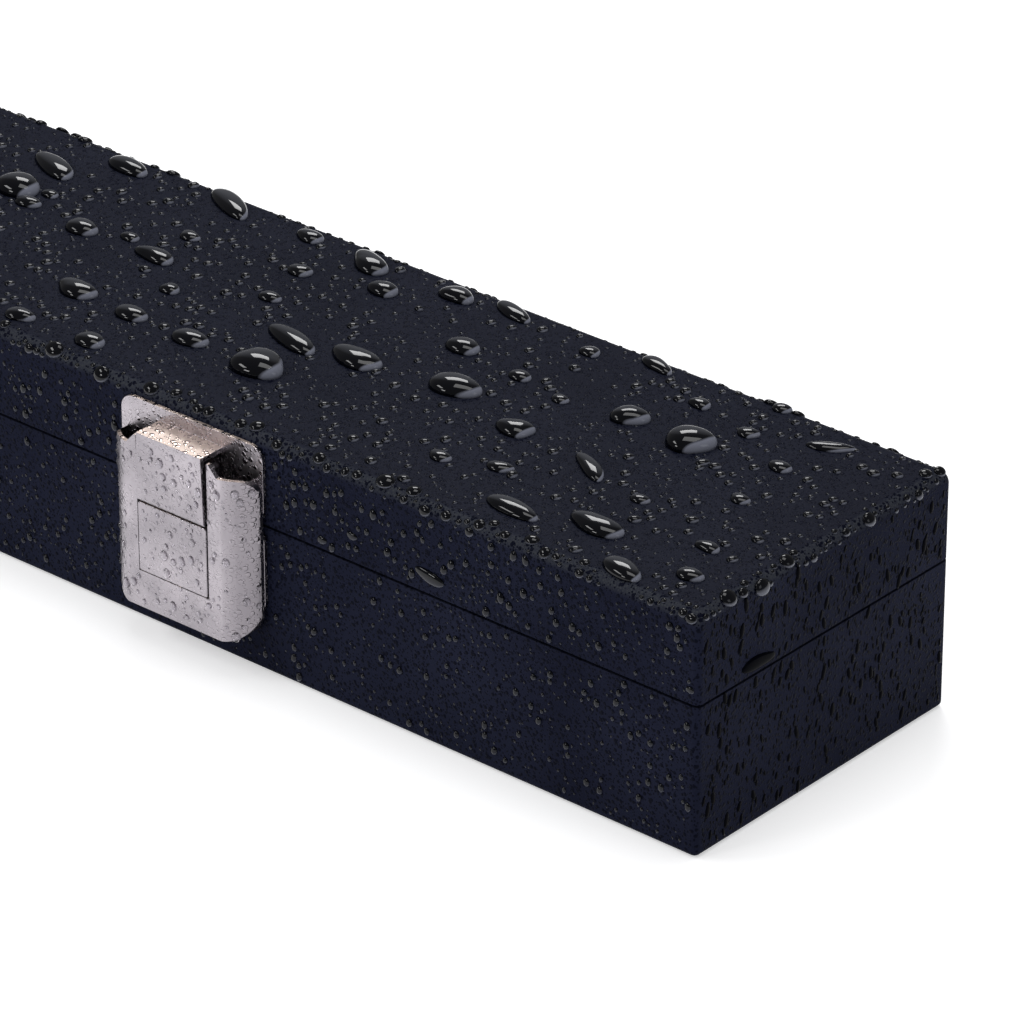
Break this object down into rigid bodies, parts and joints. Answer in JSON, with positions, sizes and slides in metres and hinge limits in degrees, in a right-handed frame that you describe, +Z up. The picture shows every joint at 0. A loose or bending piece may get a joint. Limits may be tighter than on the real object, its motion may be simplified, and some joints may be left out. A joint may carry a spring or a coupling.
{
  "type": "billiard cue case",
  "caption": "long rectangular hard case for a two-piece cue, with a hinged lid, push-button snap latches, a drop handle and a padded channelled inside",
  "frame": {"origin": "middle of the flat underside, in the plane the case lies on", "axes": "X along the case's length, -Y towards the latches and the handle, +Y towards the hinges, Z up through the lid"},
  "size_m": [0.82, 0.099, 0.056],
  "materials": {
    "leatherette": "fine grained artificial leather, low sheen",
    "underside_sheet": "flat artificial leather sheet, matt",
    "carcass_wood": "plain thin plywood, unfinished",
    "lining_board": "board wrapped in short black velvet",
    "velvet_padding": "foam under short black velvet",
    "spring_steel": "plain spring and pin steel",
    "nickel_plate": "stamped sheet, satin nickel plate with bright edges",
    "handle_plastic": "moulded, fine texture",
    "foot_rubber": "matt moulded rubber"
  },
  "bodies": {
    "base": {"base_leatherette": "leatherette", "base_bottom_sheet": "underside_sheet", "base_floor_panel": "carcass_wood", "base_front_wall": "carcass_wood", "base_rear_wall": "carcass_wood", "base_left_end_wall": "carcass_wood", "base_right_end_wall": "carcass_wood", "base_rim_lining": "lining_board", "base_floor_pad": "velvet_padding", "base_front_rail": "velvet_padding", "base_rear_rail": "velvet_padding", "base_divider": "velvet_padding", "base_pocket_divider": "velvet_padding", "latch_left_base_plate": "nickel_plate", "latch_left_cover": "nickel_plate", "latch_left_base_rivets": "nickel_plate", "latch_left_catch_spring": "spring_steel", "handle_left_bracket": "nickel_plate", "handle_left_pin": "spring_steel", "latch_right_base_plate": "nickel_plate", "latch_right_cover": "nickel_plate", "latch_right_base_rivets": "nickel_plate", "latch_right_catch_spring": "spring_steel", "handle_right_bracket": "nickel_plate", "handle_right_pin": "spring_steel", "handle_bracket_screws": "nickel_plate", "hinge_base_screws": "nickel_plate", "rear_feet": "foot_rubber", "hinge_left_base_leaf": "nickel_plate", "hinge_left_pin": "spring_steel", "hinge_centre_base_leaf": "nickel_plate", "hinge_centre_pin": "spring_steel", "hinge_right_base_leaf": "nickel_plate", "hinge_right_pin": "spring_steel"},
    "lid": {"lid_leatherette": "leatherette", "lid_roof_panel": "carcass_wood", "lid_front_wall": "carcass_wood", "lid_rear_wall": "carcass_wood", "lid_left_end_wall": "carcass_wood", "lid_right_end_wall": "carcass_wood", "lid_side_lining": "lining_board", "lid_pad": "velvet_padding", "hinge_lid_screws": "nickel_plate", "latch_left_hasp": "nickel_plate", "latch_left_hasp_rivets": "nickel_plate", "latch_right_hasp": "nickel_plate", "latch_right_hasp_rivets": "nickel_plate", "hinge_left_lid_leaf": "nickel_plate", "hinge_centre_lid_leaf": "nickel_plate", "hinge_right_lid_leaf": "nickel_plate"},
    "left_button": {"latch_left_button": "nickel_plate"},
    "right_button": {"latch_right_button": "nickel_plate"},
    "handle": {"handle_grip": "handle_plastic"}
  },
  "joints": [
    {"name": "lid_hinge", "type": "hinge", "parent": "base", "child": "lid", "pos_m": [0, 0.0434, 0.035], "axis": [-1, 0, 0], "range_deg": [0, 170]},
    {"name": "left_button_press", "type": "slide", "parent": "base", "child": "left_button", "axis": [0, 1, 0], "range_m": [0, 0.0016], "stiffness_N_per_m": 600, "springref_m": -0.0008, "deforming": ["latch_left_catch_spring"]},
    {"name": "right_button_press", "type": "slide", "parent": "base", "child": "right_button", "axis": [0, 1, 0], "range_m": [0, 0.0016], "stiffness_N_per_m": 600, "springref_m": -0.0008, "deforming": ["latch_right_catch_spring"]},
    {"name": "handle_swing", "type": "hinge", "parent": "base", "child": "handle", "pos_m": [0, -0.0468, 0.03], "axis": [-1, 0, 0], "range_deg": [0, 178]}
  ]
}
